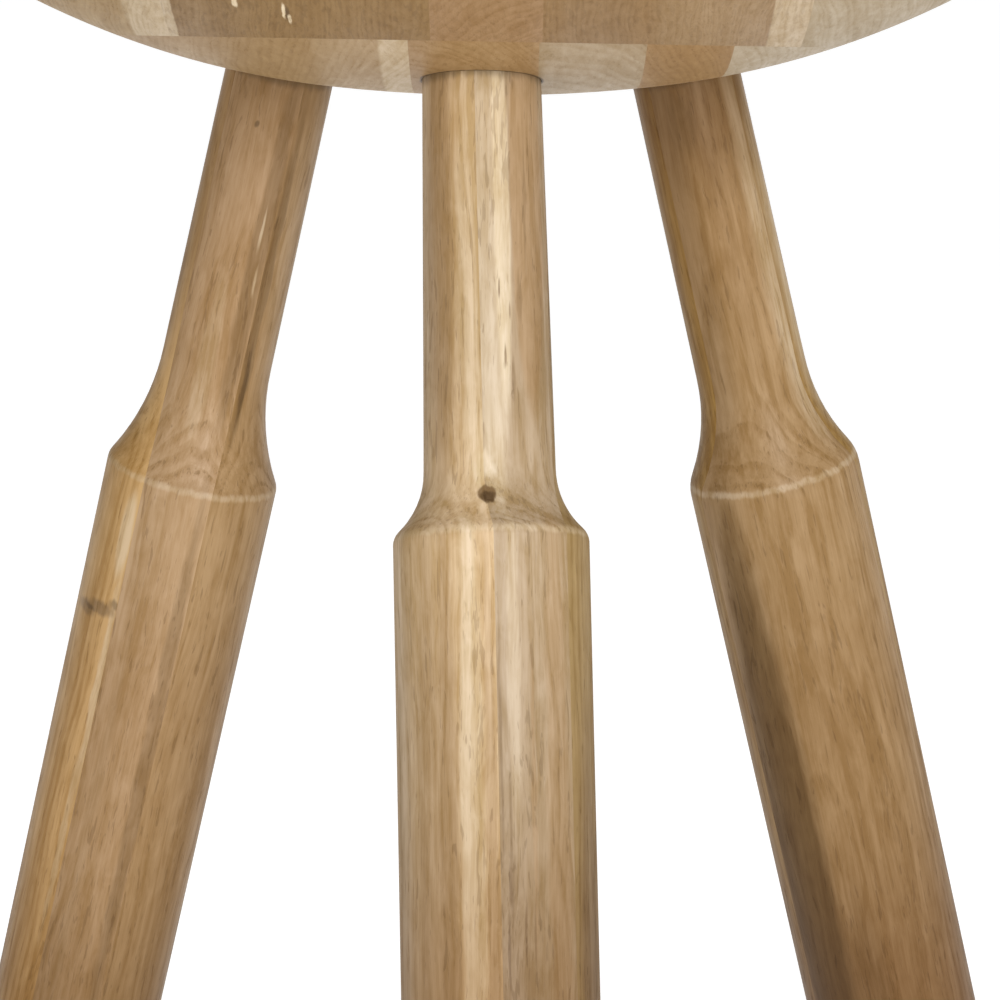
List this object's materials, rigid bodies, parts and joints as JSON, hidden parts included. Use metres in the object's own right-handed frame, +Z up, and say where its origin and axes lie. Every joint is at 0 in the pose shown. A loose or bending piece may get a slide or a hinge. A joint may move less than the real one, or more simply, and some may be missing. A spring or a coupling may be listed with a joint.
{
  "type": "three-legged wooden stool",
  "caption": "Low solid oak stool: a round board-built seat with a shallow domed underside, on splayed turned legs with a slim neck, a cove and a thick shank.",
  "frame": {"origin": "on the floor, straight below the centre of the round seat", "axes": "+Z up through the seat's centre; the front leg stands towards -Y, the left leg towards -X and +Y, the right leg towards +X and +Y; the boards of the seat run along Y"},
  "size_m": [0.4225, 0.4238, 0.45],
  "materials": {
    "seat_oak": "satin oiled oak, end grain and long grain",
    "leg_oak": "satin oiled oak, grain along the leg",
    "glide_nylon": "matt off-white nylon",
    "nail_steel": "plain steel"
  },
  "bodies": {
    "root": {"seat_upper_board_1": "seat_oak", "seat_upper_board_2": "seat_oak", "seat_upper_board_3": "seat_oak", "seat_upper_board_4": "seat_oak", "seat_upper_board_5": "seat_oak", "seat_lower_board_1": "seat_oak", "seat_lower_board_2": "seat_oak", "seat_lower_board_3": "seat_oak", "seat_lower_board_4": "seat_oak", "seat_lower_board_5": "seat_oak", "front_leg_strip_1": "leg_oak", "front_leg_strip_2": "leg_oak", "front_leg_strip_3": "leg_oak", "left_leg_strip_1": "leg_oak", "left_leg_strip_2": "leg_oak", "left_leg_strip_3": "leg_oak", "right_leg_strip_1": "leg_oak", "right_leg_strip_2": "leg_oak", "right_leg_strip_3": "leg_oak", "front_glide": "glide_nylon", "front_glide_nail": "nail_steel", "left_glide": "glide_nylon", "left_glide_nail": "nail_steel", "right_glide": "glide_nylon", "right_glide_nail": "nail_steel"}
  },
  "joints": []
}
